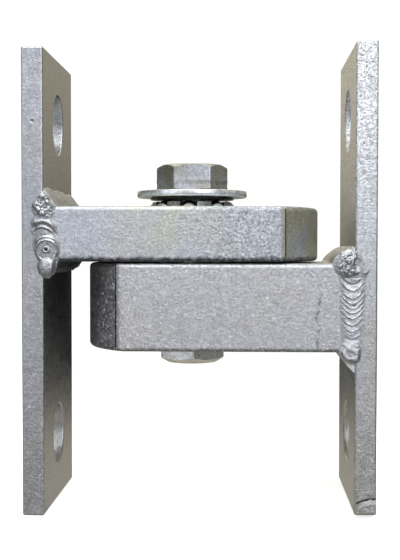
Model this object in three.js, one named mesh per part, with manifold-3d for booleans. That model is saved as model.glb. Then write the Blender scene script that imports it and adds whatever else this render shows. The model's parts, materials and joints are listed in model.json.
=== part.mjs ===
// Heavy bolt-on gate hinge: two strap plates, each with a welded flat arm, lapped on one
// vertical pivot bolt between two caged thrust ball bearings. Millimetres, +Z up, bolt axis vertical.
// The gate leaf (left, upper arm) turns about the bolt; the post leaf (right, lower arm) stands still.
import * as THREE from 'three';
import { mergeVertices } from 'three/addons/utils/BufferGeometryUtils.js';
import Module from 'manifold-3d';

const wasm = await Module();
wasm.setup();

// ---- driving dimensions -------------------------------------------------------------------------

const INCH = 25.4;
const ROUND = 64; // segments around a full circle
const SEAM = 0.05; // gap left between two flat faces that rest on each other
const RUN = 0.3; // gap left between a piece and the pieces that it rolls, turns or nests in

const plate = {
  width: 3 * INCH,
  height: 8 * INCH,
  thick: (3 / 8) * INCH,
  holeRadius: (17 / 32) * INCH,
  holeInset: 30, // hole centre from the plate's end
};

// Heights are measured from the middle of the gap between the two arms, reaches from the bolt axis.
const armGap = 0.7;
const armEndRadius = 2 * INCH;
const gate = { side: -1, faceReach: 62.4, plateTop: 92.95, armThick: 24, tipReach: 57.9 };
const post = { side: 1, faceReach: 71.6, plateTop: 94.55, armThick: 1.5 * INCH, tipReach: 47.2 };
gate.armLow = armGap / 2;
gate.armHigh = gate.armLow + gate.armThick;
post.armHigh = -armGap / 2;
post.armLow = post.armHigh - post.armThick;

const bearing = {
  height: 11,
  bore: 10.3,
  upperRadius: 19.25,
  lowerRadius: 20.2,
  raceThick: 1,
  clearance: 0.5, // between a race and the balls
  ballRadius: 4,
  pitchRadius: 16,
  balls: 8,
  cageInner: 10.7,
  cageOuter: 18.4,
  cageHeight: 6.8,
};
const topBearingProud = 4.9; // how far the top bearing stands out of its pocket
const topBearingLow = gate.armHigh + topBearingProud - bearing.height;
const lowerBearingLow = -bearing.height / 2;

const bolt = { radius: (3 / 8) * INCH, length: 3 * INCH, tip: 1.5, acrossFlats: 1.125 * INCH, headHeight: (15 / 32) * INCH };
const cornerChamfer = { slope: Math.tan(Math.PI / 6), flatShare: 0.97 }; // flat circle's share of the hexagon's width
const washer = { inner: (13 / 32) * INCH, outer: INCH, thick: 3.4 };
const nut = { height: (41 / 64) * INCH, proud: 8, socketRadius: 20 };
const washerLow = topBearingLow + bearing.height;
const headLow = washerLow + washer.thick;
const nutLow = post.armLow - nut.proud;
const boreClearance = 0.4;
const headTurn = THREE.MathUtils.degToRad(3);
const nutTurn = THREE.MathUtils.degToRad(34.5);

const weld = { leg: 8, bulge: 0.8, beadHalfWidth: 5.5, beadProud: 3.2, overrun: 4.5 };

// ---- materials ----------------------------------------------------------------------------------

const metal = (name, color, roughness, metalness) =>
  new THREE.MeshStandardMaterial({ name, color, roughness, metalness });
const zinc = metal('zinc_plate', 0xb4b6ba, 0.45, 0.85);
const weldMetal = metal('zinc_weld', 0xa3a39c, 0.35, 0.9);
const fastener = metal('zinc_fastener', 0xa9aba6, 0.38, 0.9);
const raceSteel = metal('bearing_race', 0x3c3d3c, 0.4, 0.9);
const ballSteel = metal('bearing_ball', 0x777874, 0.15, 1);
const cageSteel = metal('bearing_cage', 0x8c8c84, 0.45, 0.85);

// ---- shape helpers ------------------------------------------------------------------------------

const X = new THREE.Vector3(1, 0, 0);
const Y = new THREE.Vector3(0, 1, 0);
const Z = new THREE.Vector3(0, 0, 1);

// A flat outline in the u, v plane, extruded from `start` along u x v for `length`.
function prism(shape, length, u, v, start) {
  const along = new THREE.Vector3().crossVectors(u, v);
  const geometry = new THREE.ExtrudeGeometry(shape, { depth: length, bevelEnabled: false, curveSegments: ROUND / 2 });
  geometry.applyMatrix4(new THREE.Matrix4().makeBasis(u, v, along));
  return geometry.translate(start.x, start.y, start.z);
}

// A profile of [radius, height] points turned about the Z axis.
function turned(profile, segments = ROUND) {
  const points = profile.map(([radius, height]) => new THREE.Vector2(radius, height));
  return new THREE.LatheGeometry(points, segments).rotateX(Math.PI / 2);
}

const rod = (radius, low, high) => turned([[0, low], [radius, low], [radius, high], [0, high]]);

const ring = (inner, outer, low, high) =>
  turned([[inner, low], [outer, low], [outer, high], [inner, high], [inner, low]]);

function toSolid(geometry) {
  const bare = geometry.clone();
  bare.deleteAttribute('normal');
  bare.deleteAttribute('uv');
  const merged = mergeVertices(bare, 1e-4);
  const vertProperties = new Float32Array(merged.attributes.position.array);
  const triVerts = new Uint32Array(merged.index.array);
  return new wasm.Manifold(new wasm.Mesh({ numProp: 3, vertProperties, triVerts }));
}

function toGeometry(solid) {
  const mesh = solid.getMesh();
  const geometry = new THREE.BufferGeometry();
  geometry.setAttribute('position', new THREE.BufferAttribute(new Float32Array(mesh.vertProperties), 3));
  geometry.setIndex(new THREE.BufferAttribute(new Uint32Array(mesh.triVerts), 1));
  geometry.computeVertexNormals();
  return geometry;
}

const cut = (geometry, ...tools) =>
  toGeometry(tools.reduce((solid, tool) => solid.subtract(toSolid(tool)), toSolid(geometry)));
const joined = (first, second) => toGeometry(toSolid(first).add(toSolid(second)));
const common = (first, second) => toGeometry(toSolid(first).intersect(toSolid(second)));

const hinge = new THREE.Group();

function addPiece(name, geometry, material) {
  const mesh = new THREE.Mesh(geometry, material);
  mesh.name = name;
  hinge.add(mesh);
  return mesh;
}

// ---- leaves -------------------------------------------------------------------------------------

// The strap plate stands on edge, its wide face square to X, with one round bolt hole near each end.
function strapPlate(leaf) {
  const half = plate.width / 2;
  const low = leaf.plateTop - plate.height;
  const outline = new THREE.Shape();
  outline.moveTo(-half, low);
  outline.lineTo(half, low);
  outline.lineTo(half, leaf.plateTop);
  outline.lineTo(-half, leaf.plateTop);
  outline.closePath();
  for (const height of [low + plate.holeInset, leaf.plateTop - plate.holeInset]) {
    const hole = new THREE.Path();
    hole.absarc(0, height, plate.holeRadius, 0, 2 * Math.PI, true);
    outline.holes.push(hole);
  }
  const nearX = leaf.side * leaf.faceReach;
  const farX = nearX + leaf.side * plate.thick;
  return prism(outline, plate.thick, Y, Z, new THREE.Vector3(Math.min(nearX, farX), 0, 0));
}

// The arm is a flat bar from the plate to a round end beyond the bolt, drawn in plan.
function armBar(leaf) {
  const half = plate.width / 2;
  const root = leaf.side * (leaf.faceReach - SEAM);
  const centre = -leaf.side * (leaf.tipReach - armEndRadius);
  const spread = Math.asin(half / armEndRadius);
  const middle = leaf.side < 0 ? 0 : Math.PI;
  const outline = new THREE.Shape();
  outline.absarc(centre, 0, armEndRadius, middle - spread, middle + spread, false);
  outline.lineTo(root, -leaf.side * half);
  outline.lineTo(root, leaf.side * half);
  outline.closePath();
  return prism(outline, leaf.armThick, X, Y, new THREE.Vector3(0, 0, leaf.armLow));
}

const boreRadius = bolt.radius + boreClearance;
const pocketRadius = bearing.lowerRadius + RUN;
const past = 5; // cutters run this far past the face that they open

addPiece('gate_plate', strapPlate(gate), zinc);
addPiece(
  'gate_arm',
  cut(
    armBar(gate),
    rod(boreRadius, gate.armLow - past, gate.armHigh + past),
    rod(pocketRadius, topBearingLow - SEAM, gate.armHigh + past),
    rod(pocketRadius, gate.armLow - past, lowerBearingLow + bearing.height + SEAM),
  ),
  zinc,
);
addPiece('post_plate', strapPlate(post), zinc);
addPiece(
  'post_arm',
  cut(
    armBar(post),
    rod(boreRadius, post.armLow - past, post.armHigh + past),
    rod(pocketRadius, lowerBearingLow - SEAM, post.armHigh + past),
    rod(nut.socketRadius, post.armLow - past, nutLow + nut.height + SEAM),
  ),
  zinc,
);

// ---- welds --------------------------------------------------------------------------------------

// A fillet in the corner between plate and arm, its outer face bulging a little; `up` is 1 or -1.
function filletWeld(leaf, up) {
  const cornerX = leaf.side * (leaf.faceReach - SEAM);
  const cornerZ = up > 0 ? leaf.armHigh + SEAM : leaf.armLow - SEAM;
  const towardsArm = -leaf.side;
  const middle = weld.leg / 2 + weld.bulge;
  const outline = new THREE.Shape();
  outline.moveTo(0, 0);
  outline.lineTo(towardsArm * weld.leg, 0);
  outline.quadraticCurveTo(towardsArm * middle, up * middle, 0, up * weld.leg);
  outline.closePath();
  const length = plate.width;
  // u x v = X x Z = -Y, so the fillet starts at the back and runs forwards.
  return prism(outline, length, X, Z, new THREE.Vector3(cornerX, plate.width / 2, cornerZ));
}

// A raised bead laid over the flush edges of plate and arm; `front` is -1 on the near side, 1 behind.
function edgeBead(leaf, front) {
  const low = leaf.armLow - weld.overrun;
  const high = leaf.armHigh + weld.overrun;
  const straight = high - low - 2 * weld.beadHalfWidth;
  const bead = new THREE.CapsuleGeometry(weld.beadHalfWidth, straight, 8, 24);
  bead.rotateX(Math.PI / 2);
  bead.scale(1, weld.beadProud / weld.beadHalfWidth, 1);
  const seatY = front * (plate.width / 2 + SEAM);
  bead.translate(leaf.side * leaf.faceReach, seatY, (low + high) / 2);
  const room = new THREE.BoxGeometry(plate.width, plate.width, plate.height);
  room.translate(leaf.side * leaf.faceReach, seatY + (front * plate.width) / 2, (low + high) / 2);
  return common(bead, room);
}

for (const [name, leaf] of [['gate', gate], ['post', post]]) {
  addPiece(`${name}_weld_front`, edgeBead(leaf, -1), weldMetal);
  addPiece(`${name}_weld_back`, edgeBead(leaf, 1), weldMetal);
  addPiece(`${name}_weld_top`, filletWeld(leaf, 1), weldMetal);
  addPiece(`${name}_weld_bottom`, filletWeld(leaf, -1), weldMetal);
}

// ---- pivot bolt, washer and nut -----------------------------------------------------------------

// A hexagon across the given flats, with its first corner turned `turn` from +X.
function hexPrism(acrossFlats, low, high, turn) {
  const cornerRadius = acrossFlats / Math.sqrt(3);
  const outline = new THREE.Shape();
  for (let corner = 0; corner < 6; corner += 1) {
    const angle = turn + (corner * Math.PI) / 3;
    const [x, y] = [cornerRadius * Math.cos(angle), cornerRadius * Math.sin(angle)];
    if (corner === 0) outline.moveTo(x, y);
    else outline.lineTo(x, y);
  }
  outline.closePath();
  return prism(outline, high - low, X, Y, new THREE.Vector3(0, 0, low));
}

// Each chamfer is a cone from the flat circle on the end out past the corners.
const flatCircle = (bolt.acrossFlats / 2) * cornerChamfer.flatShare;
const cornerCircle = bolt.acrossFlats / Math.sqrt(3);
const chamferDrop = (cornerCircle - flatCircle) * cornerChamfer.slope;

const headHigh = headLow + bolt.headHeight;
const head = common(
  hexPrism(bolt.acrossFlats, headLow, headHigh, headTurn),
  turned([[0, headLow], [cornerCircle, headLow], [cornerCircle, headHigh - chamferDrop], [flatCircle, headHigh], [0, headHigh]]),
);
const shankEnd = headLow - bolt.length;
const shank = turned([
  [0, shankEnd],
  [bolt.radius - bolt.tip, shankEnd],
  [bolt.radius, shankEnd + bolt.tip],
  [bolt.radius, headLow + 1],
  [0, headLow + 1],
]);
addPiece('pivot_bolt', joined(head, shank), fastener);

addPiece('flat_washer', ring(washer.inner, washer.outer, washerLow + SEAM, headLow - SEAM), fastener);

const nutHigh = nutLow + nut.height;
const nutBlank = common(
  hexPrism(bolt.acrossFlats, nutLow, nutHigh, nutTurn),
  turned([
    [0, nutLow],
    [flatCircle, nutLow],
    [cornerCircle, nutLow + chamferDrop],
    [cornerCircle, nutHigh - chamferDrop],
    [flatCircle, nutHigh],
    [0, nutHigh],
  ]),
);
addPiece('pivot_nut', cut(nutBlank, rod(bolt.radius + RUN / 2, nutLow - past, nutHigh + past)), fastener);

// ---- thrust bearings ----------------------------------------------------------------------------

const firstBallTurn = THREE.MathUtils.degToRad(20.5);

// Two flat races, a cage ring whose pockets break out of its rim, and a ball in each pocket.
function thrustBearing(name, low) {
  const high = low + bearing.height;
  const ballHeight = low + bearing.raceThick + bearing.clearance + bearing.ballRadius;
  const cageLow = ballHeight - bearing.cageHeight / 2;
  addPiece(`${name}_lower_race`, ring(bearing.bore, bearing.lowerRadius, low, low + bearing.raceThick), raceSteel);
  addPiece(`${name}_upper_race`, ring(bearing.bore, bearing.upperRadius, high - bearing.raceThick, high), raceSteel);
  const pockets = [];
  for (let index = 0; index < bearing.balls; index += 1) {
    const angle = ((index + 0.5) / bearing.balls) * 2 * Math.PI + firstBallTurn;
    const [x, y] = [bearing.pitchRadius * Math.cos(angle), bearing.pitchRadius * Math.sin(angle)];
    const pocket = rod(bearing.ballRadius + RUN, cageLow - past, cageLow + bearing.cageHeight + past);
    pockets.push(pocket.translate(x, y, 0));
    const ball = addPiece(`${name}_ball_${index + 1}`, new THREE.SphereGeometry(bearing.ballRadius, 18, 12), ballSteel);
    ball.position.set(x, y, ballHeight);
  }
  const blank = ring(bearing.cageInner, bearing.cageOuter, cageLow, cageLow + bearing.cageHeight);
  addPiece(`${name}_cage`, cut(blank, ...pockets), cageSteel);
}

thrustBearing('top_bearing', topBearingLow);
thrustBearing('lower_bearing', lowerBearingLow);

// ---- row frame: middle of the two plates' footprint, on the lower plate end -----------------------

hinge.position.set((gate.faceReach - post.faceReach) / 2, 0, plate.height - gate.plateTop);

export default hinge;
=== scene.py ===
import json
import math

import bpy
import bmesh
from mathutils import Matrix, Vector, noise


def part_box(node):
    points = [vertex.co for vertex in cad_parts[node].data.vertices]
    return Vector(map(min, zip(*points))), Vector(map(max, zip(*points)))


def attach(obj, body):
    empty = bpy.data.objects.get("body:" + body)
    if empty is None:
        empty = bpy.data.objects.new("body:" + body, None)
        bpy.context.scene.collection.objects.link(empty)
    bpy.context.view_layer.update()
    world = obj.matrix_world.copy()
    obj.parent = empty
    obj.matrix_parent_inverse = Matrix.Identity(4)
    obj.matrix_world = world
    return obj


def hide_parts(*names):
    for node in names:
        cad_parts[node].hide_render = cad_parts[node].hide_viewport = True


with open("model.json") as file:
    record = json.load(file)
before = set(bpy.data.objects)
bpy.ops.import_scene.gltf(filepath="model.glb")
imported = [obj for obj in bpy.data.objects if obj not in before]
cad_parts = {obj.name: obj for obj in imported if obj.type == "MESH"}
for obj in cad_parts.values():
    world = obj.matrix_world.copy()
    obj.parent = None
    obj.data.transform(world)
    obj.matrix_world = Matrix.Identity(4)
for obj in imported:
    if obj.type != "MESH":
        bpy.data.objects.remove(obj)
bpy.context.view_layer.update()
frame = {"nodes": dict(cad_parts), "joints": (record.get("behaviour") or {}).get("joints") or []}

MM = 0.001
GATE, POST = "gate_leaf", "post_leaf"


# ---- places, all read from the frame -------------------------------------------------------------

def node_range(node, axis):
    """Lowest and highest place of a CAD node along one axis, in metres."""
    low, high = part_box(node)
    return low[axis], high[axis]


swing = next(joint for joint in frame["joints"] if joint["name"] == "hinge_swing")
AXIS_X = swing["pos_m"][0]
gate_arm_low, gate_arm_high = node_range("gate_arm", 2)
post_arm_low, post_arm_high = node_range("post_arm", 2)
gate_seam_x = node_range("gate_plate", 0)[1]
post_seam_x = node_range("post_plate", 0)[0]
front_y, back_y = node_range("post_plate", 1)
washer_low, washer_high = node_range("flat_washer", 2)
washer_radius = (node_range("flat_washer", 0)[1] - node_range("flat_washer", 0)[0]) / 2
bolt_low, bolt_high = node_range("pivot_bolt", 2)
nut_low, nut_high = node_range("pivot_nut", 2)


# ---- small shader-node helpers -------------------------------------------------------------------

class Nodes:
    """Short ways to add and join nodes in one node tree."""

    def __init__(self, tree):
        self.tree = tree
        self.place = None

    def node(self, kind, links=None, **settings):
        made = self.tree.nodes.new(kind)
        for key, value in settings.items():
            setattr(made, key, value)
        for socket, source in (links or {}).items():
            self.plug(source, made.inputs[socket])
        return made

    def plug(self, source, socket):
        if isinstance(source, bpy.types.NodeSocket):
            self.tree.links.new(source, socket)
        else:
            socket.default_value = source

    def stretched(self, scale):
        return self.node("ShaderNodeMapping", {"Vector": self.place, "Scale": scale}).outputs["Vector"]

    def noise(self, scale, detail, roughness, place=None, distortion=0.0):
        links = {"Vector": place or self.place, "Scale": scale, "Detail": detail,
                 "Roughness": roughness, "Distortion": distortion}
        return self.node("ShaderNodeTexNoise", links).outputs["Fac"]

    def voronoi(self, scale, output="Distance"):
        return self.node("ShaderNodeTexVoronoi", {"Vector": self.place, "Scale": scale}).outputs[output]

    def span(self, value, low, high, to_low=0.0, to_high=1.0, smooth=False):
        """Maps low..high to to_low..to_high, held at the ends."""
        links = {"Value": value, "From Min": low, "From Max": high, "To Min": to_low, "To Max": to_high}
        kind = "SMOOTHSTEP" if smooth else "LINEAR"
        return self.node("ShaderNodeMapRange", links, interpolation_type=kind).outputs["Result"]

    def math(self, operation, first, second=0.0):
        made = self.node("ShaderNodeMath", operation=operation)
        self.plug(first, made.inputs[0])
        self.plug(second, made.inputs[1])
        return made.outputs["Value"]

    def mix(self, factor, first, second, blend="MIX"):
        made = self.node("ShaderNodeMix", data_type="RGBA", blend_type=blend)
        self.plug(factor, made.inputs[0])
        self.plug(first, made.inputs[6])
        self.plug(second, made.inputs[7])
        return made.outputs[2]

    def split(self, source):
        made = self.node("ShaderNodeSeparateXYZ", {"Vector": source})
        return made.outputs["X"], made.outputs["Y"], made.outputs["Z"]

    def bump(self, height, strength, distance, normal=None):
        made = self.node("ShaderNodeBump", {"Height": height, "Strength": strength, "Distance": distance})
        if normal is not None:
            self.tree.links.new(normal, made.inputs["Normal"])
        return made.outputs["Normal"]


class Material(Nodes):
    """A principled material whose colour, roughness and bump are built up from procedural nodes."""

    def __init__(self, name, metallic=1.0):
        self.data = bpy.data.materials.new(name)
        self.data.use_nodes = True
        super().__init__(self.data.node_tree)
        self.shader = self.tree.nodes["Principled BSDF"]
        self.shader.inputs["Metallic"].default_value = metallic
        self.place = self.tree.nodes.new("ShaderNodeTexCoord").outputs["Object"]

    def finish(self, colour, roughness, normal=None):
        self.plug(colour, self.shader.inputs["Base Color"])
        self.plug(roughness, self.shader.inputs["Roughness"])
        if normal is not None:
            self.tree.links.new(normal, self.shader.inputs["Normal"])
        return self.data


def rgb(red, green, blue):
    return (red, green, blue, 1.0)


# ---- materials -----------------------------------------------------------------------------------

PITS_PER_METRE = 85
ALONG_X, ALONG_Z = (0.06, 1.0, 1.0), (1.0, 1.0, 0.06)  # noise drawn out along the arms, along the plates
NICK_HEIGHTS = 6.9 * MM, 8.9 * MM  # the post plate's nick above its foot, at its inner and outer end
SCRATCH_X = 51.5 * MM  # the post arm's scratch, beside its weld
STRAW_MIDDLE, STRAW_REACH = -14 * MM, 30 * MM  # the straw-coloured stretch of the gate arm


def zinc_bar(name, cool, warm, warm_amount, depth, threads, zones, dull=(0.4, 0.58), rolled=ALONG_X):
    """Zinc over rolled bar: crystalline grain, bright wandering threads, passivate tint, pits and stains.

    depth and threads scale the grain and the threads, zones(m) gives the (warm share, lightness, grain)
    along the bar, where warm share and lightness hold the passivate and, on the arms, painted shade and
    a painted reflection, dull is the range of roughness, rolled the way the bar was rolled.
    """
    m = Material(name)
    grain = m.noise(900, 5, 0.7)
    sparkle = m.noise(2600, 2, 0.5)
    mottle = m.noise(210, 4, 0.6)
    drift = m.noise(24, 3, 0.55, distortion=0.6)
    wander = m.noise(520, 3, 0.6, distortion=1.4)
    thread = m.span(m.math("ABSOLUTE", m.math("SUBTRACT", wander, 0.5)), 0.0, 0.05, 1.0, 0.0)
    thread = m.math("MULTIPLY", thread, m.span(m.noise(800, 2, 0.5), 0.48, 0.6))
    warm_share = m.span(drift, 0.38, 0.64, 0.0, warm_amount)
    # on the arms the zones' warm share and lightness also carry painted shade and a painted reflection
    where, lightness, coarse = zones(m)
    warm_share = m.math("MULTIPLY", warm_share, where)
    tint = m.mix(warm_share, cool, warm)
    shade = m.math("MULTIPLY", m.span(mottle, 0.3, 0.7, 0.9, 1.05), lightness)
    swing = m.math("MULTIPLY", m.span(grain, 0.38, 0.62, -0.24 * depth, 0.18 * depth), coarse)
    speck = m.math("ADD", 1.0, swing)
    tint = m.mix(1.0, tint, m.math("MULTIPLY", shade, speck), "MULTIPLY")
    tint = m.mix(m.math("MULTIPLY", thread, 0.6 * threads), tint, rgb(0.95, 0.96, 0.98))
    dark_speck = m.span(sparkle, 0.66, 0.8, 0.0, 0.5 * depth)
    tint = m.mix(dark_speck, tint, rgb(0.22, 0.22, 0.21))
    pit_kept = m.span(m.split(m.voronoi(PITS_PER_METRE, "Color"))[0], 0.8, 0.82)
    pit = m.math("MULTIPLY", m.span(m.voronoi(PITS_PER_METRE), 0.035, 0.075, 1.0, 0.0), pit_kept)
    tint = m.mix(m.math("MULTIPLY", pit, 0.7), tint, rgb(0.12, 0.11, 0.09))
    stain = m.span(m.noise(60, 5, 0.7, distortion=1.2), 0.64, 0.82, 0.0, 0.22)
    tint = m.mix(stain, tint, rgb(0.36, 0.35, 0.30))
    roughness = m.span(m.math("ADD", mottle, m.math("MULTIPLY", grain, 0.5)), 0.5, 1.0, *dull)
    lines = m.noise(900, 2, 0.5, place=m.stretched(rolled))
    relief = m.math("ADD", m.math("MULTIPLY", grain, 0.8), m.math("MULTIPLY", sparkle, 0.25))
    relief = m.math("ADD", relief, m.math("MULTIPLY", thread, 0.25 * threads))
    relief = m.math("ADD", relief, m.math("MULTIPLY", lines, 0.1))
    relief = m.math("MULTIPLY", m.math("SUBTRACT", relief, pit), coarse)
    normal = m.bump(m.noise(45, 3, 0.5), 0.3, 0.6 * MM)
    normal = m.bump(relief, min(1.0, 0.9 * depth), 0.4 * MM * max(1.0, depth), normal)
    return m.finish(tint, roughness, normal)


def front_share(m, y):
    """1 on the front face, 0 from 4 mm behind it."""
    return m.span(y, front_y + 2 * MM, front_y + 4 * MM, 1.0, 0.0)


def end_share(m):
    """1 on the rounded end of a bar, 0 on its front, back and other flat faces."""
    facing = m.split(m.node("ShaderNodeTexCoord").outputs["Normal"])
    return m.math("MULTIPLY", m.span(m.math("ABSOLUTE", facing[0]), 0.25, 0.5),
                  m.span(m.math("ABSOLUTE", facing[2]), 0.8, 0.5))


def gate_arm_zones(m):
    """Plain near the plate, straw-coloured in the middle, pale and coarsely spangled by the bolt; painted
    shade along the bottom edge over the gap, and a painted olive reflection and painted shade on the
    rounded end.
    """
    x, _, z = m.split(m.place)
    from_middle = m.math("ABSOLUTE", m.math("SUBTRACT", x, STRAW_MIDDLE))
    straw = m.span(m.math("SUBTRACT", 1.0, m.math("DIVIDE", from_middle, STRAW_REACH)), 0.0, 0.6)
    spangled = m.span(x, -12 * MM, 12 * MM)
    end = end_share(m)
    # painted reflection: the rounded end takes the warm tint of the olive room it faces
    straw = m.math("MAXIMUM", straw, m.math("MULTIPLY", end, 3.0))
    # painted shade: a ragged band along the bottom edge, over the gap between the arms, is darkened
    ragged = m.math("ADD", z, m.span(m.noise(400, 3, 0.6), 0.3, 0.7, -0.6 * MM, 0.6 * MM))
    bottom_edge_shade = m.span(ragged, gate_arm_low + 0.9 * MM, gate_arm_low + 2.6 * MM, 0.2, 1.0)
    # painted shade: the rounded end is darker
    lightness = m.math("MULTIPLY", bottom_edge_shade, m.span(end, 0.0, 1.0, 1.0, 0.86))
    coarse = m.math("MULTIPLY", m.span(spangled, 0.0, 1.0, 0.8, 1.7), m.span(end, 0.0, 1.0, 1.0, 0.4))
    return straw, lightness, coarse


def post_arm_zones(m):
    """Even on the long faces, painted shade round the sawn end and in a dark line along the foot, and a
    scratch by the weld.
    """
    x, y, z = m.split(m.place)
    end = end_share(m)
    # painted shade: a dark line along the bottom edge
    foot = m.span(z, post_arm_low + 0.4 * MM, post_arm_low + 1.6 * MM, 0.5, 1.0)
    wander = m.span(m.noise(110, 5, 0.7), 0.3, 0.7, -2.5 * MM, 2.5 * MM)
    beside = m.math("ABSOLUTE", m.math("SUBTRACT", x, m.math("ADD", wander, SCRATCH_X)))
    broken = m.math("MULTIPLY", m.span(m.noise(330, 3, 0.6), 0.42, 0.5),
                    m.span(z, post_arm_high - 5 * MM, post_arm_high - 11 * MM))
    shown = m.math("MULTIPLY", broken, front_share(m, y))
    scratch = m.math("MULTIPLY", m.span(beside, 0.12 * MM, 0.5 * MM, 0.6, 0.0), shown)
    # painted shade: the sawn end is darker
    lightness = m.math("MULTIPLY", foot, m.span(end, 0.0, 1.0, 0.98, 0.54))
    lightness = m.math("MULTIPLY", lightness, m.math("SUBTRACT", 1.0, scratch))
    return 1.0, lightness, m.span(end, 0.0, 1.0, 1.0, 0.6)


def gate_plate_zones(m):
    """Warmer towards the foot, otherwise even, a little dull and smooth."""
    z = m.split(m.place)[2]
    return m.span(z, 0.0, 0.15, 1.0, 0.5), 0.86, 0.8


def post_plate_zones(m):
    """Bright and rough towards the top, darker from the weld down, a shear nick in front at the foot."""
    x, y, z = m.split(m.place)
    upper = m.span(z, 0.10, 0.17)
    across = m.span(x, post_seam_x + 0.8 * MM, post_seam_x + 9.0 * MM)
    arch = m.math("MULTIPLY", across, m.math("SUBTRACT", 2.0, across))
    ragged = m.span(m.noise(500, 3, 0.6), 0.3, 0.7, -0.25 * MM, 0.25 * MM)
    above = m.math("SUBTRACT", z, m.math("ADD", m.span(arch, 0.0, 1.0, *NICK_HEIGHTS), ragged))
    cut = m.span(m.math("ABSOLUTE", above), 0.3 * MM, 0.65 * MM, 0.12, 1.0)
    under = m.math("MULTIPLY", m.span(above, -2.6 * MM, -2.0 * MM),
                   m.span(above, -0.6 * MM, -0.4 * MM, 1.0, 0.0))
    torn = m.math("ADD", cut, m.math("MULTIPLY", under, m.span(across, 0.1, 0.7, 0.0, 0.9)))
    front = m.math("MULTIPLY", front_share(m, y), m.span(across, 0.0, 0.02))
    nick = m.math("ADD", 1.0, m.math("MULTIPLY", front, m.math("SUBTRACT", torn, 1.0)))
    lightness = m.math("MULTIPLY", nick, m.span(upper, 0.0, 1.0, 0.9, 1.36))
    return m.span(upper, 0.0, 1.0, 1.0, 0.3), lightness, m.span(upper, 0.0, 1.0, 0.9, 2.0)


def weld_zinc():
    """Plated weld metal: the bars' grey, with soot-dark patches at random, painted shade in the hollows,
    painted highlights on the ridges and a fine grain.
    """
    m = Material("weld_zinc")
    drift = m.noise(120, 4, 0.6, distortion=0.8)
    tint = m.mix(m.span(drift, 0.35, 0.68), rgb(0.55, 0.57, 0.61), rgb(0.38, 0.39, 0.40))
    grain = m.noise(1100, 4, 0.65)
    tint = m.mix(1.0, tint, m.span(grain, 0.3, 0.7, 0.8, 1.12), "MULTIPLY")
    soot = m.span(m.noise(620, 4, 0.7), 0.54, 0.68, 0.0, 0.7)
    tint = m.mix(soot, tint, rgb(0.10, 0.10, 0.095))
    point = m.node("ShaderNodeNewGeometry").outputs["Pointiness"]
    # painted shade: hollows, by pointiness, are darkened
    tint = m.mix(m.span(point, 0.43, 0.495, 0.92, 0.0), tint, rgb(0.05, 0.05, 0.05))
    # painted highlight: ridges, by pointiness, are lightened
    tint = m.mix(m.span(point, 0.51, 0.56, 0.0, 0.6), tint, rgb(0.9, 0.91, 0.93))
    roughness = m.span(m.noise(260, 3, 0.6), 0.3, 0.7, 0.28, 0.5)
    normal = m.bump(grain, 0.8, 0.4 * MM)
    return m.finish(tint, roughness, normal)


def fastener_zinc(name, bright, warm):
    """Barrel-plated bolt, washer and nut: finer, slightly warm, with small handling marks."""
    m = Material(name)
    drift = m.noise(90, 3, 0.5, distortion=0.5)
    tint = m.mix(m.span(drift, 0.36, 0.66), bright, warm)
    dull = m.span(m.noise(700, 5, 0.75), 0.36, 0.64, 0.7, 1.12)
    tint = m.mix(1.0, tint, dull, "MULTIPLY")
    roughness = m.span(m.noise(500, 3, 0.6), 0.3, 0.7, 0.24, 0.42)
    scratches = m.noise(700, 2, 0.5, place=m.stretched((0.08, 1.0, 1.0)))
    relief = m.math("ADD", m.noise(1500, 2, 0.5), m.math("MULTIPLY", scratches, 0.5))
    return m.finish(tint, roughness, m.bump(relief, 0.5, 0.16 * MM))


def oiled_steel():
    """Dark hardened race with turning marks and a smear of oil."""
    m = Material("race_steel")
    smear = m.noise(160, 3, 0.6)
    tint = m.mix(m.span(smear, 0.35, 0.7), rgb(0.012, 0.012, 0.012), rgb(0.05, 0.05, 0.045))
    roughness = m.span(smear, 0.35, 0.7, 0.22, 0.45)
    return m.finish(tint, roughness, m.bump(m.noise(1800, 2, 0.5), 0.15, 0.05 * MM))


def ball_steel():
    """Polished ball with a thin film of grease that dulls it in patches."""
    m = Material("ball_steel")
    film = m.noise(380, 3, 0.6)
    tint = m.mix(m.span(film, 0.45, 0.75), rgb(0.95, 0.95, 0.95), rgb(0.5, 0.5, 0.47))
    roughness = m.span(film, 0.4, 0.75, 0.1, 0.28)
    return m.finish(tint, roughness, m.bump(film, 0.05, 0.05 * MM))


def cage_steel():
    """Pressed cage: dull, a little brownish, with grease in the corners."""
    m = Material("cage_steel")
    film = m.noise(300, 4, 0.65)
    tint = m.mix(m.span(film, 0.35, 0.7), rgb(0.30, 0.30, 0.28), rgb(0.10, 0.10, 0.09))
    roughness = m.span(film, 0.3, 0.7, 0.32, 0.55)
    return m.finish(tint, roughness, m.bump(m.noise(1300, 3, 0.6), 0.3, 0.1 * MM))


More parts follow.
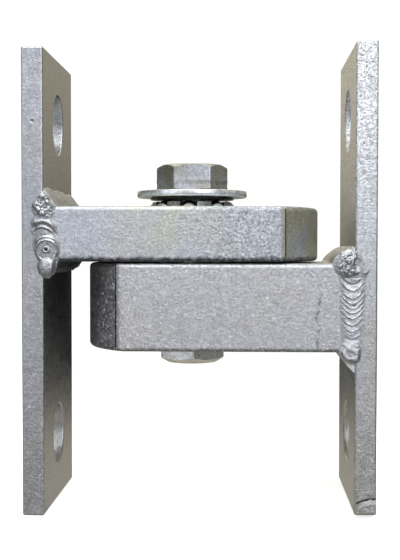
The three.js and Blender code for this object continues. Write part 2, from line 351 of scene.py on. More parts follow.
COOL_ZINC = rgb(0.60, 0.62, 0.66)
WARM_ZINC = rgb(0.62, 0.61, 0.54)
materials = {
    "gate_plate": zinc_bar("zinc_gate_plate", COOL_ZINC, WARM_ZINC, 0.5, 0.8, 0.5, gate_plate_zones,
                           (0.24, 0.4), ALONG_Z),
    "post_plate": zinc_bar("zinc_post_plate", COOL_ZINC, WARM_ZINC, 0.5, 0.9, 0.8, post_plate_zones,
                           (0.24, 0.42), ALONG_Z),
    "gate_arm": zinc_bar("zinc_gate_arm", rgb(0.55, 0.58, 0.63), rgb(0.60, 0.59, 0.46), 0.8, 1.0, 0.8,
                         gate_arm_zones),
    "post_arm": zinc_bar("zinc_post_arm", rgb(0.58, 0.59, 0.63), rgb(0.60, 0.59, 0.57), 0.5, 0.9, 1.8,
                         post_arm_zones),
    "weld": weld_zinc(),
    "bolt": fastener_zinc("zinc_bolt", rgb(0.55, 0.57, 0.61), rgb(0.46, 0.46, 0.41)),
    "washer": fastener_zinc("zinc_washer", rgb(0.95, 0.97, 1.0), rgb(0.72, 0.74, 0.73)),
    "nut": fastener_zinc("zinc_nut", rgb(0.93, 0.94, 0.93), rgb(0.70, 0.70, 0.66)),
    "race": oiled_steel(),
    "ball": ball_steel(),
    "cage": cage_steel(),
}


# ---- mesh helpers --------------------------------------------------------------------------------

def smooth_angle(obj, degrees):
    """Smooth shading with edges sharper than the angle kept crisp."""
    for polygon in obj.data.polygons:
        polygon.use_smooth = True
    obj.data.set_sharp_from_angle(angle=math.radians(degrees))


def add_piece(name, vertices, faces, body, material, replaced, sharp=40):
    """A new closed mesh that rides on a body and stands for the CAD nodes it replaces."""
    mesh = bpy.data.meshes.new(name)
    mesh.from_pydata([tuple(v) for v in vertices], [], faces)
    mesh.validate()
    obj = bpy.data.objects.new(name, mesh)
    bpy.context.scene.collection.objects.link(obj)
    repair = bmesh.new()
    repair.from_mesh(mesh)
    bmesh.ops.remove_doubles(repair, verts=repair.verts, dist=1e-7)
    bmesh.ops.recalc_face_normals(repair, faces=repair.faces)
    repair.to_mesh(mesh)
    repair.free()
    smooth_angle(obj, sharp)
    mesh.materials.append(materials[material])
    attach(obj, body)
    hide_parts(*replaced)
    return obj


def grid_faces(rows, columns, wrap_columns=False, wrap_rows=False):
    """Quads over a rows x columns lattice of vertices, closed round if asked."""
    faces = []
    for row in range(rows if wrap_rows else rows - 1):
        for column in range(columns if wrap_columns else columns - 1):
            next_row, next_column = (row + 1) % rows, (column + 1) % columns
            faces.append((row * columns + column, row * columns + next_column,
                          next_row * columns + next_column, next_row * columns + column))
    return faces


def ring_vertex(radius, angle, height):
    return Vector((AXIS_X + radius * math.cos(angle), radius * math.sin(angle), height))


def turned(name, profile, body, material, replaced, segments, sharp=40):
    """A closed [radius, height] profile turned about the bolt axis."""
    vertices = []
    for radius, height in profile:
        for segment in range(segments):
            vertices.append(ring_vertex(radius, 2 * math.pi * segment / segments, height))
    faces = grid_faces(len(profile), segments, wrap_columns=True, wrap_rows=True)
    return add_piece(name, vertices, faces, body, material, replaced, sharp)


def rounded_profile(corners, radius, steps):
    """A closed profile with each corner replaced by a small arc."""
    rounded = []
    for index, corner in enumerate(corners):
        here = Vector(corner)
        before = (Vector(corners[index - 1]) - here).normalized()
        after = (Vector(corners[(index + 1) % len(corners)]) - here).normalized()
        start, end = here + before * radius, here + after * radius
        for step in range(steps + 1):
            t = step / steps
            point = start * (1 - t) ** 2 + here * (2 * t * (1 - t)) + end * t ** 2
            rounded.append((point.x, point.y))
    return rounded


# ---- bars: the CAD nodes stay, with rolled edges and a finish --------------------------------------

def finish_bar(node, material, edge, clamp=False):
    """Gives a CAD bar its material and rounds its edges; clamp keeps the rounding clear of thin walls."""
    obj = frame["nodes"][node]
    for polygon in obj.data.polygons:
        polygon.use_smooth = True
    obj.data.materials.clear()
    obj.data.materials.append(materials[material])
    weld = obj.modifiers.new("join_corners", "WELD")
    weld.merge_threshold = 1e-6
    flat = obj.modifiers.new("whole_faces", "DECIMATE")
    flat.decimate_type = "DISSOLVE"
    flat.angle_limit = math.radians(1)
    bevel = obj.modifiers.new("rolled_edges", "BEVEL")
    bevel.width = edge
    bevel.segments = 4
    bevel.limit_method = "ANGLE"
    bevel.angle_limit = math.radians(35)
    bevel.use_clamp_overlap = clamp
    obj.modifiers.new("flat_faces", "WEIGHTED_NORMAL")


finish_bar("gate_plate", "gate_plate", 0.9 * MM)
finish_bar("post_plate", "post_plate", 1.2 * MM)
finish_bar("gate_arm", "gate_arm", 2.0 * MM)
finish_bar("post_arm", "post_arm", 2.0 * MM)
finish_bar("top_bearing_cage", "cage", 0.3 * MM, True)
finish_bar("lower_bearing_cage", "cage", 0.3 * MM, True)


# ---- bolt head, nut, threads and washer ------------------------------------------------------------

APOTHEM = 28.575 / 2 * MM  # half the width across flats, of head and nut alike
SHANK_RADIUS = 19.05 / 2 * MM
THREAD_PITCH = 2.54 * MM
THREAD_DEPTH = 1.45 * MM
HEAD_TURN = math.radians(3)
NUT_TURN = math.radians(34.5)
HEX_STEPS = 360
CHAMFER = math.tan(math.radians(30))
CORNER_SHARPNESS = 90


def hex_radius(angle, turn):
    """Distance from the axis to a hexagon's side, with its six corners a little rounded."""
    total = 0.0
    for side in range(6):
        facing = math.cos(angle - turn - math.pi / 6 - side * math.pi / 3)
        if facing > 0:
            total += facing ** CORNER_SHARPNESS
    return APOTHEM / total ** (1 / CORNER_SHARPNESS)


def circle(radius, height):
    return [ring_vertex(radius, 2 * math.pi * step / HEX_STEPS, height) for step in range(HEX_STEPS)]


def hex_rings(low, high, turn, chamfer_low, flat_radius, creases=()):
    """Rings of a hexagon wall from bottom to top, its top and if asked its bottom cut back by a cone.

    creases are (share of the height, change in radius) rows for forging marks round the faces.
    """
    def wall(height_of, change=0.0):
        ring = []
        for step in range(HEX_STEPS):
            angle = 2 * math.pi * step / HEX_STEPS
            radius = hex_radius(angle, turn)
            ring.append(ring_vertex(radius + change, angle, height_of(radius)))
        return ring

    def cut_back(radius):
        return max(0.0, radius - flat_radius) * CHAMFER

    edge = 0.25 * MM
    rings = []
    if chamfer_low:
        rings.append(circle(flat_radius - 2 * edge, low))
        rings.append(circle(flat_radius, low + edge * 0.3))
        rings.append(wall(lambda r: low + cut_back(r) + edge * 0.3))
        rings.append(wall(lambda r: low + cut_back(r) + edge))
    else:
        rings.append(wall(lambda r: low))
    for share, change in creases:
        rings.append(wall(lambda r: low + (high - low) * share, change * MM))
    rings.append(wall(lambda r: high - cut_back(r) - edge))
    rings.append(wall(lambda r: high - cut_back(r) - edge * 0.3))
    rings.append(circle(flat_radius, high - edge * 0.3))
    rings.append(circle(flat_radius - 2 * edge, high))
    return rings


def thread_rings(low, high, radius, depth):
    """Rings down a threaded wall; the helix comes from shifting each ring's wave with the angle."""
    rings = []
    steps_per_pitch = 8
    count = max(2, round((high - low) / THREAD_PITCH * steps_per_pitch))
    for index in range(count + 1):
        height = low + (high - low) * index / count
        ring = []
        for step in range(HEX_STEPS):
            turn = step / HEX_STEPS
            wave = abs(((height / THREAD_PITCH - turn) % 1.0) * 2 - 1)
            ring.append(ring_vertex(radius - depth * wave, 2 * math.pi * turn, height))
        rings.append(ring)
    return rings


def capped(rings):
    """Closes a stack of equal rings with a fan at each end."""
    vertices = [vertex for ring in rings for vertex in ring]
    count = len(rings[0])
    faces = grid_faces(len(rings), count, wrap_columns=True)
    faces.append(tuple(reversed(range(count))))
    faces.append(tuple(range((len(rings) - 1) * count, len(rings) * count)))
    return vertices, faces


def build_bolt():
    """Head with a washer face, plain shank, and a rolled thread on its last stretch."""
    washer_face = 0.5 * MM
    under = washer_high + 0.05 * MM
    threaded = 32 * MM
    flat = 0.955 * APOTHEM
    tip = 1.6 * MM
    rings = [circle(SHANK_RADIUS - tip, bolt_low)]
    rings += thread_rings(bolt_low + tip, bolt_low + threaded, SHANK_RADIUS, THREAD_DEPTH)
    for radius, height in ((SHANK_RADIUS, bolt_low + threaded + MM), (SHANK_RADIUS, under - MM),
                           (SHANK_RADIUS + 0.6 * MM, under), (0.93 * APOTHEM, under),
                           (0.95 * APOTHEM, under + washer_face)):
        rings.append(circle(radius, height))
    creases = ((0.05, 0.0), (0.16, -0.10), (0.19, -0.10), (0.30, 0.10), (0.34, 0.11), (0.42, 0.0),
               (0.5, 0.0))
    rings += hex_rings(under + washer_face, bolt_high, HEAD_TURN, False, flat, creases)
    rings.append(circle(flat - 1.4 * MM, bolt_high - 0.08 * MM))
    vertices, faces = capped(rings)
    add_piece("bolt", vertices, faces, POST, "bolt", ["pivot_bolt"], 35)


def build_nut():
    """Hexagon nut, both ends deeply chamfered, with a countersunk thread right through."""
    flat = 0.79 * APOTHEM
    bore = SHANK_RADIUS + 0.15 * MM
    sink = 0.9 * MM
    outer = hex_rings(nut_low, nut_high, NUT_TURN, True, flat)
    thread = thread_rings(nut_low + sink, nut_high - sink, bore, THREAD_DEPTH * 0.75)
    mouth = bore + 0.3 * MM
    rings = outer + [circle(mouth, nut_high)] + thread[::-1] + [circle(mouth, nut_low)]
    vertices = [vertex for ring in rings for vertex in ring]
    faces = grid_faces(len(rings), HEX_STEPS, wrap_columns=True, wrap_rows=True)
    add_piece("nut", vertices, faces, POST, "nut", ["pivot_nut"], 35)


def build_washer():
    """Punched washer with rounded edges, a rim that leans a little and a trace of dish."""
    inner = 10.35 * MM
    dish = 0.25 * MM
    corners = [(inner, washer_low + dish), (washer_radius - 0.3 * MM, washer_low),
               (washer_radius, washer_low + 1.2 * MM), (washer_radius - 0.2 * MM, washer_high - dish),
               (inner, washer_high)]
    turned("washer", rounded_profile(corners, 0.55 * MM, 5), POST, "washer",
           ["flat_washer"], 200, 60)


build_bolt()
build_nut()
build_washer()


# ---- thrust bearings -----------------------------------------------------------------------------

def build_race(node, body, groove_up):
    """A race with rounded rims and the balls' shallow groove on its rolling side."""
    low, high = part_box(node)
    outer = (high.x - low.x) / 2
    inner, rim = 10.3 * MM, 0.25 * MM
    pitch, groove = 16 * MM, 0.22 * MM
    half = 2.6 * MM
    rolling, resting = (high.z, low.z) if groove_up else (low.z, high.z)
    sink = -groove if groove_up else groove
    corners = [(inner, resting), (outer, resting), (outer, rolling)]
    profile = rounded_profile([*corners, (inner, rolling)], rim, 3)
    middle = 4 * 3  # the rolling face starts after the first three corners, four points each
    dip = []
    for step in range(9):
        t = -1 + step / 4
        dip.append((pitch - t * half, rolling + sink * (1 - t * t)))
    profile = profile[:middle] + dip + profile[middle:]
    turned(node + "_turned", profile, body, "race", [node], 128)


def build_ball(node, body):
    low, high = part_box(node)
    centre, radius = (low + high) / 2, (high.x - low.x) / 2
    rows, columns = 24, 48
    vertices = []
    for row in range(1, rows):
        tilt = math.pi * row / rows
        for column in range(columns):
            angle = 2 * math.pi * column / columns
            outward = Vector((math.sin(tilt) * math.cos(angle), math.sin(tilt) * math.sin(angle),
                              math.cos(tilt)))
            vertices.append(centre + radius * outward)
    faces = grid_faces(rows - 1, columns, wrap_columns=True)
    top, bottom = len(vertices), len(vertices) + 1
    vertices += [centre + Vector((0, 0, radius)), centre - Vector((0, 0, radius))]
    last = (rows - 2) * columns
    for column in range(columns):
        following = (column + 1) % columns
        faces.append((top, following, column))
        faces.append((bottom, last + column, last + following))
    add_piece(node + "_polished", vertices, faces, body, "ball", [node], 180)


build_race("top_bearing_upper_race", POST, False)
build_race("top_bearing_lower_race", GATE, True)
build_race("lower_bearing_upper_race", GATE, False)
build_race("lower_bearing_lower_race", POST, True)
for number in range(1, 9):
    build_ball(f"top_bearing_ball_{number}", "top_cage")
    build_ball(f"lower_bearing_ball_{number}", "lower_cage")


# ---- welds ---------------------------------------------------------------------------------------

def between(table, place):
    """Smooth interpolation in a short table of (place, value, ...) rows, sorted by place."""
    if place <= table[0][0]:
        return table[0][1:]
    for before, after in zip(table, table[1:]):
        if place <= after[0]:
            t = (place - before[0]) / (after[0] - before[0])
            t = t * t * (3 - 2 * t)
            return tuple(a + (b - a) * t for a, b in zip(before[1:], after[1:]))
    return table[-1][1:]


def apart(u, v, centre):
    return ((u - centre[0]) ** 2 + (v - centre[1]) ** 2) ** 0.5


def dome(u, v, centre_u, centre_v, radius_u, radius_v, height, power):
    """Height over an ellipse of the given half widths; a small power makes it flat with steep sides."""
    reach = 1 - ((u - centre_u) / radius_u) ** 2 - ((v - centre_v) / radius_v) ** 2
    return height * reach ** power if reach > 0 else 0.0


def fade(value, low, high):
    """0 below low, 1 above high, smooth between; runs the other way when low is above high."""
    t = min(1.0, max(0.0, (value - low) / (high - low)))
    return t * t * (3 - 2 * t)


def blended(first, second):
    """The higher of two heights, with the crease between them rounded."""
    soft = 0.5
    gap = max(0.0, soft - abs(first - second)) / soft
    return max(first, second) + gap * gap * soft / 4


def wobble(u, v, size, seed):
    return noise.noise(Vector((u / size, v / size, seed)))


def scales(place, edges, sharpness):
    """Height 0 to 1 of overlapping weld scales that grow from each upper edge to the next lower one."""
    for upper, lower in zip(edges, edges[1:]):
        if lower <= place <= upper:
            return ((upper - place) / (upper - lower)) ** sharpness
    return 0.5


def edge_weld(name, body, seam_x, side, outline, height_at, seed, replaced, rough=1.0):
    """A raised run over the flush edges of plate and arm, on the front (side -1) or the back (side 1).

    outline rows are (height, left limit, right limit, rise) and height_at gives the relief, all in
    millimetres, measured from the seam.
    """
    rows, columns = 260, 64
    bottom, top = outline[0][0], outline[-1][0]
    face_y = front_y if side < 0 else back_y
    sink = 0.3
    vertices = []
    for row in range(rows):
        v = bottom + (top - bottom) * row / (rows - 1)
        left, right, rise = between(outline, v)
        left += 0.35 * wobble(0, v, 2.2, seed)
        right += 0.35 * wobble(9, v, 2.2, seed)
        for column in range(columns):
            across = math.sin((-1 + 2 * column / (columns - 1)) * math.pi / 2)
            u = (left + right) / 2 + across * (right - left) / 2
            toe = max(0.0, 1 - across * across) ** 1.1
            out = height_at(u, v, across, rise * toe)
            near_toe = min(1.0, toe * 1.7)
            out += rough * near_toe * (0.2 * wobble(u, v, 1.3, seed) + 0.1 * wobble(u, v, 0.5, seed))
            out = max(0.02, out * near_toe)
            if column in (0, columns - 1) or row in (0, rows - 1):
                out = -sink
            vertices.append(Vector((seam_x + u * MM, face_y + side * out * MM, v * MM)))
    faces = grid_faces(rows, columns)
    rim = list(range(columns))
    rim += [row * columns + columns - 1 for row in range(1, rows)]
    rim += [(rows - 1) * columns + column for column in range(columns - 2, -1, -1)]
    rim += [row * columns for row in range(rows - 2, 0, -1)]
    faces.append(tuple(rim))
    return add_piece(name, vertices, faces, body, "weld", replaced, 70)


def fillet_weld(name, body, seam_x, towards, corner_z, up, seed, replaced, legs, swell):
    """A fillet run along the width of the bars, its face faintly rippled like overlapping scales."""
    rows, columns = 220, 22
    setback = 0.8
    width = (back_y - front_y) / MM
    vertices = []
    for row in range(rows):
        along = setback + (width - 2 * setback) * row / (rows - 1)
        wander = wobble(along, 0, 8.0, seed)
        out_leg = legs[0] * (1 + 0.1 * wander)
        up_leg = legs[1] * (1 + 0.1 * wobble(along, 5, 8.0, seed))
        for column in range(columns):
            t = column / (columns - 1)
            bulge = math.sin(math.pi * t)
            scale = ((along + 2.4 * bulge) / 3.1 + 0.3 * wander) % 1.0
            lift = bulge * (swell + 0.32 * (scale ** 1.6 - 0.4) + 0.3 * wobble(along, t * 6, 2.0, seed))
            x, z = out_leg * (1 - t) + lift * 0.7, up_leg * t + lift * 0.7
            vertices.append(Vector((seam_x + towards * x * MM, front_y + along * MM,
                                    corner_z + up * z * MM)))
    faces = grid_faces(rows, columns)
    start = len(vertices)
    for row in range(rows):
        along = setback + (width - 2 * setback) * row / (rows - 1)
        vertices.append(Vector((seam_x, front_y + along * MM, corner_z)))
    for row in range(rows - 1):
        first, second = row * columns, (row + 1) * columns
        faces.append((first, start + row, start + row + 1, second))
        faces.append((first + columns - 1, second + columns - 1, start + row + 1, start + row))
    faces.append((*range(columns), start))
    last = (rows - 1) * columns
    faces.append((*range(last + columns - 1, last - 1, -1), start + rows - 1))
    return add_piece(name, vertices, faces, body, "weld", replaced, 70)


GATE_TOP, GATE_BOTTOM = gate_arm_high / MM, gate_arm_low / MM
POST_TOP, POST_BOTTOM = post_arm_high / MM, post_arm_low / MM


def gate_front_relief(u, v, across, rise):
    """Gate leaf, front: a rough start, a smooth tongue, arched scales round a crater, and a drip."""
    level = v - GATE_TOP
    lump = dome(u, level, 0.2, 0.3, 5.6, 6.2, 2.3, 0.55)
    if lump > 0:
        lump *= 0.85 + 0.7 * wobble(u, v, 2.6, 3.1)
        lump -= 0.9 * fade(abs(wobble(u + 4, v * 0.7, 3.0, 6.3)), 0.09, 0.0) * fade(lump, 0.5, 1.4)
        lump += 0.5 * wobble(u, v, 0.9, 9.9)
    tongue = apart(u, level, (-0.6, -14.2))
    started = fade(level, -13.5, -9.5)
    ridge = 1.75 * fade(abs(tongue - 7.6), 2.2, 0.1) * started
    second = 1.6 * fade(abs(tongue - 5.2), 1.5, 0.1) * started
    height = blended(lump, blended(rise, max(ridge, second)))
    height -= 0.9 * dome(u, level, -3.7, -9.3, 1.5, 2.2, 1.0, 1.0)
    crater_level, crater_rim = -19.1, 7.0
    from_crater = apart(u, level, (1.5, crater_level))
    if from_crater < crater_rim and level > -23.5:
        arch = fade(level, -21.5, -17.5)
        step = (crater_rim - from_crater) / 1.35
        terrace = 0.95 + 0.55 * arch * (step % 1.0) ** 1.2 + 0.25 * step
        disc = 1.15 + 0.05 * (level - crater_level)
        inner = fade(from_crater, 4.0, 4.3)
        crater = disc * (1 - inner) + terrace * inner
        height = height + (crater - height) * fade(from_crater, crater_rim, 6.2)
    pinhole = apart(u, level, (1.3, -18.7))
    height += 0.45 * fade(abs(pinhole - 1.15), 0.55, 0.0) - 0.8 * fade(pinhole, 0.8, 0.2)
    return blended(height, dome(u, level, 1.7, -26.4, 4.4, 4.6, 2.8, 0.55) + 0.4 * wobble(u, v, 2.5, 7.7))


def post_front_relief(u, v, across, rise):
    """Post leaf, front: a rough cap with a curl beside it, a stack of bowed scales and a broken lobe."""
    level = v - POST_TOP
    if level > -6.4:  # the cap; the scales and the lobe are below it
        cap = dome(u, level, -3.1, 0.1, 6.5, 6.1, 2.1, 0.5)
        if cap > 0:
            cap *= 0.82 + 0.34 * abs(wobble(u * 1.5, v, 2.4, 5.2))
            cap -= 0.45 * fade(abs(wobble(u * 1.4, v + 3, 3.4, 8.8)), 0.1, 0.0) * fade(cap, 0.8, 1.8)
            cap += 0.3 * wobble(u, v, 0.8, 2.9)
        cap -= 1.5 * dome(u, level, 0.9, -0.2, 2.0, 3.2, 1.0, 1.0)
        curl = (((u - 4.0) * 0.8) ** 2 + (level + 2.6) ** 2) ** 0.5
        curled = 0.75 * fade(abs(curl - 1.3), 0.9, 0.0) * fade(u, 2.4, 4.4)
        return blended(blended(cap, rise * 0.6), curled)
    edges = (-5.2, -8.2, -11.6, -13.8, -15.9, -18.0, -20.2, -23.2, -25.8, -28.8, -32.0)
    bow = 3.3 * (1 - min(1.0, ((u + 1.2) / 4.6) ** 2))
    depth = (0.75 * fade(level, -30.0, -12.0) + 0.4) * (1 + 0.9 * wobble(u, v, 2.4, 12.3))
    u += 0.5 * wobble(u, v, 3.0, 1.7)
    middle = max(0.0, 1 - across * across)
    rippled = rise * 0.9 + depth * middle * (scales(level + bow, edges, 2.0) - 0.35)
    rippled += 0.5 * abs(wobble(u, v, 0.7, 2.2)) * dome(u, level, -4.2, -19.3, 1.8, 2.4, 1.0, 1.0)
    smooth = rise * fade(level, -31.5, -33.5)
    lobe = dome(u, level, -2.0, -38.4, 5.0, 4.7, 1.7, 0.6)
    if lobe > 0:
        lobe += 0.6 * abs(wobble(u, v, 0.9, 4.4)) * fade(u, -1.0, 1.6) + 0.7 * wobble(u, v, 2.6, 6.1)
    return blended(rippled if level > -33 else smooth, lobe)


def outline(top, rows):
    """Rows of (level, left limit, right limit, rise), with the level taken from the arm's top."""
    return [(top + level, left, right, rise) for level, left, right, rise in rows]


gate_front = outline(GATE_TOP, [
    (-31.2, 0.2, 3.0, 0.6), (-29, -2.2, 5.0, 1.3), (-26, -3.0, 5.8, 1.4), (-22.5, -3.0, 6.6, 1.5),
    (-20, -4.0, 7.4, 1.3), (-17, -4.8, 7.4, 1.2), (-13, -5.2, 6.8, 1.2), (-9.5, -5.6, 6.2, 1.2),
    (-6, -5.8, 5.4, 1.3), (-3.5, -5.0, 5.4, 1.4), (0, -5.4, 5.4, 1.5), (3.6, -2.8, 2.9, 1.4),
    (6.2, -0.5, 0.7, 0.5)
])
post_front = outline(POST_TOP, [
    (-43, -2.8, 0.4, 0.4), (-41, -5.2, 2.6, 1.0), (-38.5, -6.8, 3.0, 1.4), (-35, -6.6, 3.2, 0.9),
    (-32, -6.0, 3.2, 0.4), (-28, -6.2, 4.0, 0.6), (-20, -6.8, 4.2, 0.8), (-12, -6.8, 4.4, 0.9),
    (-7, -6.8, 4.4, 1.0), (-4.6, -7.6, 5.6, 1.1), (-2.8, -9.2, 6.4, 1.2), (-0.6, -9.6, 4.6, 1.3),
    (1.8, -9.2, 3.2, 1.3), (4.6, -7.0, 1.2, 1.1), (6.3, -3.8, -1.6, 0.4)
])


def plain_relief(pitch, bow, upwards):
    """An even run of scales, for the back of each joint."""
    def relief(u, v, across, rise):
        shift = (bow if upwards else -bow) * (1 - across * across)
        place = (v + shift) / pitch + 0.25 * wobble(0, v, 5.0, 2.0)
        scale = place % 1.0
        scale = 1 - scale if upwards else scale
        return rise * 0.85 + 0.9 * max(0.0, 1 - across * across) * (scale ** 1.5 - 0.3)
    return relief


def back_outline(low, high):
    """The back run's outline: round ends and sides that wander a little."""
    rows = [(low - 5.5, -0.8, 0.8, 0.5), (low - 3, -3.8, 4.0, 2.2)]
    steps = 5
    for step in range(steps + 1):
        v = low + (high - low) * step / steps
        wander = wobble(0, v, 3.3, 4.2)
        rows.append((v, -4.9 - wander, 4.9 + 0.8 * wander, 2.6))
    return rows + [(high + 3, -3.9, 3.7, 2.2), (high + 5.5, -0.8, 0.8, 0.5)]


edge_weld("gate_front_run", GATE, gate_seam_x, -1, gate_front, gate_front_relief, 3.0,
          ["gate_weld_front"], 0.3)
edge_weld("post_front_run", POST, post_seam_x, -1, post_front, post_front_relief, 8.0,
          ["post_weld_front"], 0.4)
edge_weld("gate_back_run", GATE, gate_seam_x, 1, back_outline(GATE_BOTTOM, GATE_TOP),
          plain_relief(3.0, 2.8, True), 14.0, ["gate_weld_back"])
edge_weld("post_back_run", POST, post_seam_x, 1, back_outline(POST_BOTTOM, POST_TOP),
          plain_relief(3.3, 3.0, False), 21.0, ["post_weld_back"])
fillet_weld("gate_top_run", GATE, gate_seam_x, 1, gate_arm_high, 1, 2.0,
            ["gate_weld_top"], (5.4, 8.0), 0.2)
fillet_weld("gate_bottom_run", GATE, gate_seam_x, 1, gate_arm_low, -1, 5.0,
            ["gate_weld_bottom"], (5.8, 5.6), 0.7)
fillet_weld("post_top_run", POST, post_seam_x, -1, post_arm_high, 1, 9.0,
            ["post_weld_top"], (8.8, 7.2), 1.0)
fillet_weld("post_bottom_run", POST, post_seam_x, -1, post_arm_low, -1, 12.0,
            ["post_weld_bottom"], (7.2, 8.8), 0.2)


# ---- floor, light and camera ---------------------------------------------------------------------

ROOM_WHITE = 1.05  # strength of the white that the camera sees


def build_floor():
    """A pale sheet that takes the contact shadow and fades to even white before its far edge.

    Reflections see a darker, warmer table in its place, which ends a little way out.
    """
    mesh = bpy.data.meshes.new("floor")
    size = 6.0
    corners = [(-size, -size, 0), (size, -size, 0), (size, size, 0), (-size, size, 0)]
    mesh.from_pydata(corners, [], [(0, 1, 2, 3)])
    floor = bpy.data.objects.new("floor", mesh)
    bpy.context.scene.collection.objects.link(floor)
    pale = Material("pale_floor", metallic=0.0)
    pale.shader.inputs["Base Color"].default_value = rgb(0.9, 0.9, 0.9)
    pale.shader.inputs["Roughness"].default_value = 1.0
    pale.shader.inputs["Specular IOR Level"].default_value = 0.0
    pale.shader.inputs["Emission Color"].default_value = rgb(1, 1, 1)
    pale.shader.inputs["Emission Strength"].default_value = 0.66
    away = pale.node("ShaderNodeVectorMath", {0: pale.place}, operation="LENGTH").outputs["Value"]
    glow = pale.node("ShaderNodeEmission", {"Color": rgb(1, 1, 1), "Strength": ROOM_WHITE})
    sheet = pale.node("ShaderNodeMixShader", {0: pale.span(away, 0.14, 0.5), 1: pale.shader.outputs[0],
                                              2: glow.outputs[0]})
    edge = pale.span(away, 0.1, 0.42, smooth=True)
    behind = pale.span(pale.split(pale.place)[1], -0.09, -0.01, 0.4, 1.0)
    card = pale.node("ShaderNodeEmission", {"Color": rgb(0.44, 0.41, 0.34), "Strength": behind})
    table = pale.node("ShaderNodeMixShader", {0: edge, 1: card.outputs[0],
                                              2: pale.node("ShaderNodeBsdfTransparent").outputs[0]})
    seen = pale.node("ShaderNodeLightPath").outputs["Is Glossy Ray"]
    blend = pale.node("ShaderNodeMixShader", {0: seen, 1: sheet.outputs[0], 2: table.outputs[0]})
    pale.tree.links.new(blend.outputs[0], pale.tree.nodes["Material Output"].inputs["Surface"])
    mesh.materials.append(pale.data)


AHEAD = (-0.16, -0.98, 0.0)  # where the bright front of the room is
# Colours by height, from straight down (0) over the horizon (0.5) to straight up (1).
FRONT_LIGHT = [(0.0, (0.06, 0.06, 0.06)), (0.36, (0.25, 0.25, 0.27)), (0.47, (0.70, 0.71, 0.77)),
               (0.62, (0.84, 0.86, 0.94)), (0.78, (1.0, 1.0, 1.0)), (1.0, (0.7, 0.7, 0.66))]
SIDE_LIGHT = [(0.0, (0.03, 0.03, 0.03)), (0.46, (0.06, 0.064, 0.05)), (0.53, (0.14, 0.143, 0.105)),
              (0.7, (0.25, 0.25, 0.19)), (1.0, (0.7, 0.7, 0.62))]
BACK_LIGHT = [(0.0, (0.01, 0.01, 0.01)), (0.49, (0.01, 0.01, 0.01)), (0.53, (0.38, 0.34, 0.245)),
              (0.7, (0.58, 0.53, 0.40)), (1.0, (0.7, 0.68, 0.58))]


def build_world():
    """White to the camera; to the metal, a bright bluish front and a dim olive room lit from above.

    The shares below follow the direction looked in: x to the right, y to the back, z up.
    """
    world = bpy.data.worlds.new("studio")
    bpy.context.scene.world = world
    world.use_nodes = True
    world.node_tree.nodes.clear()
    w = Nodes(world.node_tree)

    def ramp(value, stops):
        made = w.node("ShaderNodeValToRGB", {0: value})
        elements = made.color_ramp.elements
        while len(elements) < len(stops):
            elements.new(0.5)
        for element, (place, colour) in zip(elements, stops):
            element.position = place
            element.color = rgb(*colour)
        return made.outputs["Color"]

    direction = w.node("ShaderNodeTexCoord").outputs["Generated"]
    x, y, z = w.split(direction)
    height = w.span(z, -1.0, 1.0)
    front, side, back = (ramp(height, stops) for stops in (FRONT_LIGHT, SIDE_LIGHT, BACK_LIGHT))
    side = w.mix(1.0, side, w.span(x, -1.0, 1.0, 0.08, 1.15), "MULTIPLY")  # dark on the left
    back = w.mix(1.0, back, w.span(x, -0.3, 0.15, 1.6, 1.0), "MULTIPLY")  # a little lighter on the left
    room = w.mix(w.span(y, 0.2, 0.85, smooth=True), side, back)
    window = w.span(w.math("ABSOLUTE", w.math("ADD", x, 0.74)), 0.0, 0.34, 1.1, 0.0)  # at the front left
    spread = w.math("ADD", w.span(x, -0.35, 0.25, 0.72, 1.1), window)
    front = w.mix(1.0, front, spread, "MULTIPLY")
    ahead = w.node("ShaderNodeVectorMath", {0: direction, 1: AHEAD}, operation="DOT_PRODUCT")
    around = w.mix(w.span(ahead.outputs["Value"], 0.26, 0.72, smooth=True), room, front)
    lit = w.node("ShaderNodeBackground", {"Color": around, "Strength": 1.0})
    white = w.node("ShaderNodeBackground", {"Color": rgb(1, 1, 1), "Strength": ROOM_WHITE})
    seen = w.node("ShaderNodeLightPath").outputs["Is Camera Ray"]
    shown = w.node("ShaderNodeMixShader", {0: seen, 1: lit.outputs[0], 2: white.outputs[0]})
    w.node("ShaderNodeOutputWorld", {0: shown.outputs[0]})


def area_light(name, place, aim, size, power, colour):
    data = bpy.data.lights.new(name, "AREA")
    data.shape = "RECTANGLE"
    data.size, data.size_y = size
    data.energy = power
    data.color = colour
    light = bpy.data.objects.new(name, data)
    light.location = place
    light.rotation_euler = (Vector(aim) - Vector(place)).to_track_quat("-Z", "Y").to_euler()
    bpy.context.scene.collection.objects.link(light)


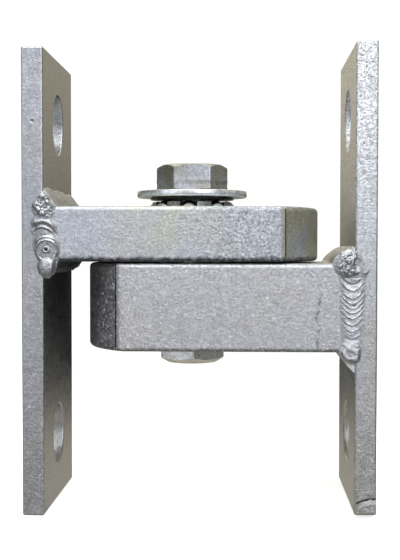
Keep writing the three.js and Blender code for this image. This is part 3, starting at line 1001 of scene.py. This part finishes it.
def build_flag():
    """A small black flag behind the gate leaf, seen only in reflections, as used in product studios."""
    mesh = bpy.data.meshes.new("flag")
    left, right = gate_seam_x + 0.5 * MM, gate_seam_x + 50 * MM
    low, high, y = 0.5 * gate_arm_low, gate_arm_low + 4 * MM, back_y + 3 * MM
    corners = [(left, y, low), (right, y, low), (right, y, high), (left, y, high)]
    mesh.from_pydata(corners, [], [(0, 1, 2, 3)])
    flag = bpy.data.objects.new("flag", mesh)
    bpy.context.scene.collection.objects.link(flag)
    black = Material("black_flag", metallic=0.0)
    black.shader.inputs["Base Color"].default_value = rgb(0.01, 0.01, 0.01)
    black.shader.inputs["Roughness"].default_value = 1.0
    black.shader.inputs["Specular IOR Level"].default_value = 0.0
    mesh.materials.append(black.data)
    flag.visible_camera = flag.visible_shadow = flag.visible_diffuse = False
    return flag


FOCAL_LENGTH = 68.85  # millimetres on the standard sensor
CAMERA_PLACE = (AXIS_X + 24.36 * MM, -497.15 * MM, 117.67 * MM)
CAMERA_TURN = (2.38, -1.85, -0.05)  # degrees to the left, up and round the line of sight


def build_camera():
    """At the photograph's viewing angle: just right of the bolt, a little above mid height."""
    data = bpy.data.cameras.new("camera")
    data.lens = FOCAL_LENGTH
    data.clip_start, data.clip_end = 0.01, 20
    camera = bpy.data.objects.new("camera", data)
    yaw, pitch, roll = (math.radians(angle) for angle in CAMERA_TURN)
    aim = Matrix.Rotation(yaw, 4, "Z") @ Matrix.Rotation(pitch, 4, "X") @ Matrix.Rotation(roll, 4, "Y")
    upright = Matrix.Rotation(math.pi / 2, 4, "X")
    camera.matrix_world = Matrix.Translation(Vector(CAMERA_PLACE)) @ aim @ upright
    bpy.context.scene.collection.objects.link(camera)
    bpy.context.scene.camera = camera


build_floor()
build_flag()
build_world()
area_light("overhead", (0.0, -0.35, 0.85), (0, 0, 0.1), (0.9, 0.6), 6, (1.0, 1.0, 1.0))
area_light("key", (0.6, -1.15, 0.55), (0.04, 0, 0.14), (0.6, 0.6), 3.0, (0.97, 0.98, 1.0))
area_light("overhead_back", (0.1, 0.45, 0.8), (0, 0, 0.1), (0.8, 0.5), 0.9, (0.95, 1.0, 0.84))
build_camera()
bpy.context.scene.view_settings.view_transform = "Standard"
